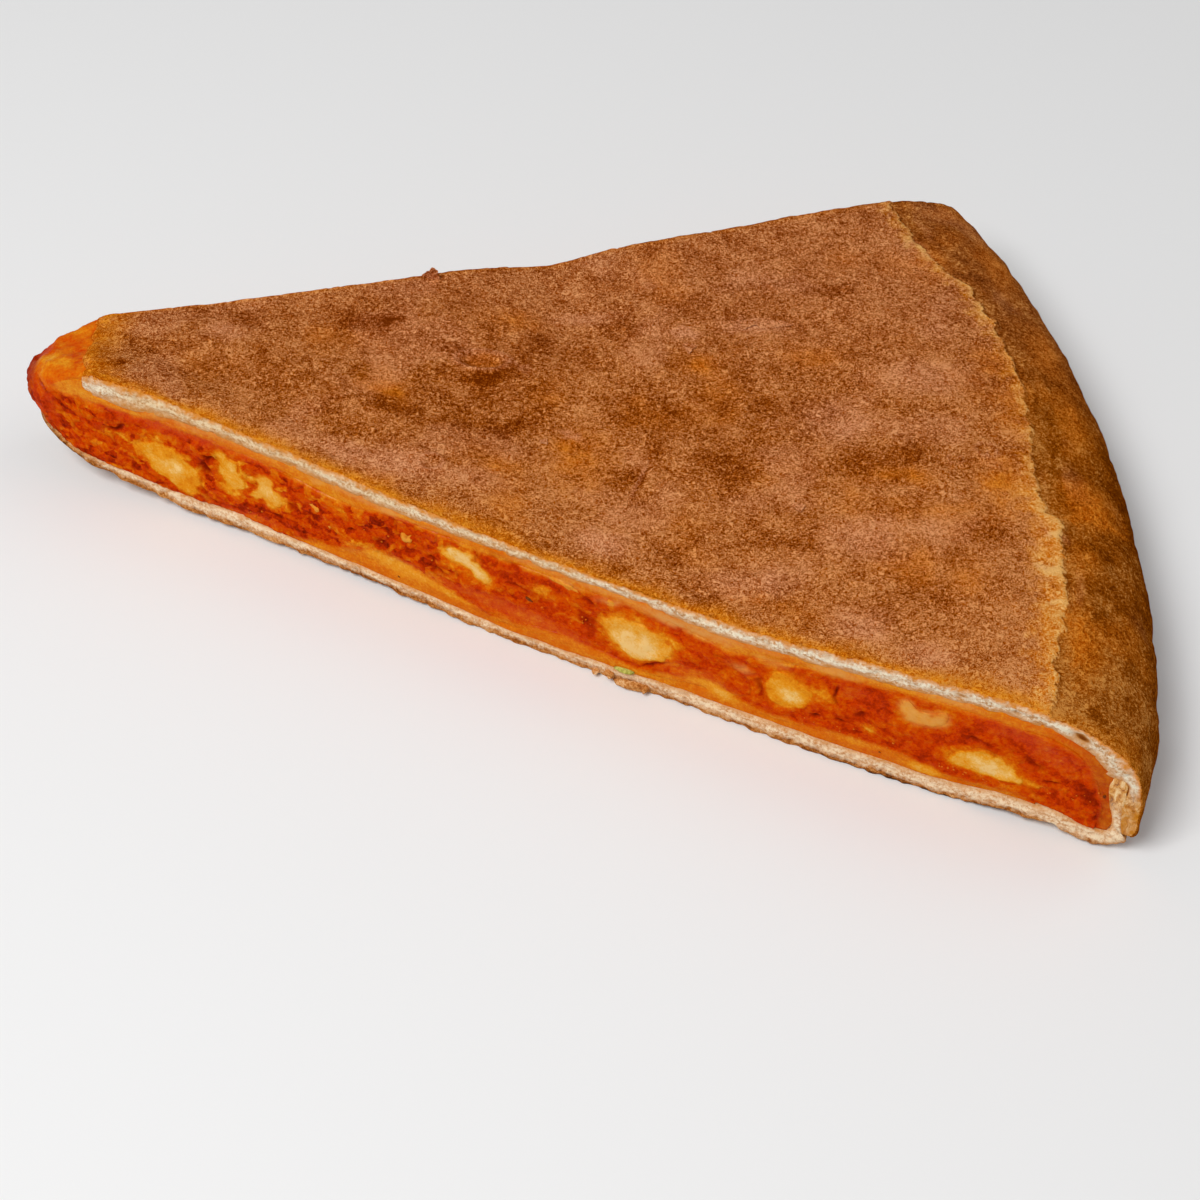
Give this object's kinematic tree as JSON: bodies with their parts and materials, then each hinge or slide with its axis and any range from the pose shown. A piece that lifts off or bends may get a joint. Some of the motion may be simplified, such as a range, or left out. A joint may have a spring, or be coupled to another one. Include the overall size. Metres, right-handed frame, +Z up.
{
  "type": "chicken parmesan stuffed pizza slice",
  "caption": "Wedge of stuffed pizza: chopped chicken in tomato sauce and melted cheese between a browned upper crust, domed over the rim, and a lower crust.",
  "frame": {"origin": "middle of the slice's box in plan, on the surface it lies on", "axes": "+X from the tip to the rim, +Z up through the crusts; the cut face towards -Y is the one the picture shows"},
  "size_m": [0.2256, 0.1616, 0.0312],
  "materials": {
    "lower_crust": "baked dough: cream crumb where cut, tan blistered underside",
    "upper_crust": "baked dough: stippled orange-brown skin, cream crumb where cut",
    "filling": "wet chopped filling in tomato sauce",
    "melted_cheese": "melted cheese stained by the sauce, slightly glossy",
    "chicken": "moist cooked chicken, stained amber at its edges"
  },
  "bodies": {
    "root": {"bottom_crust": "lower_crust", "top_crust": "upper_crust", "filling": "filling", "cheese_lower": "melted_cheese", "cheese_upper": "melted_cheese", "chicken_near_1": "chicken", "chicken_near_2": "chicken", "chicken_near_3": "chicken", "chicken_near_4": "chicken", "chicken_near_5": "chicken", "chicken_near_6": "chicken", "chicken_near_7": "chicken", "chicken_near_8": "chicken", "chicken_far_1": "chicken", "chicken_far_2": "chicken", "chicken_far_3": "chicken", "chicken_far_4": "chicken", "chicken_far_5": "chicken", "chicken_far_6": "chicken", "chicken_far_7": "chicken"}
  },
  "joints": []
}
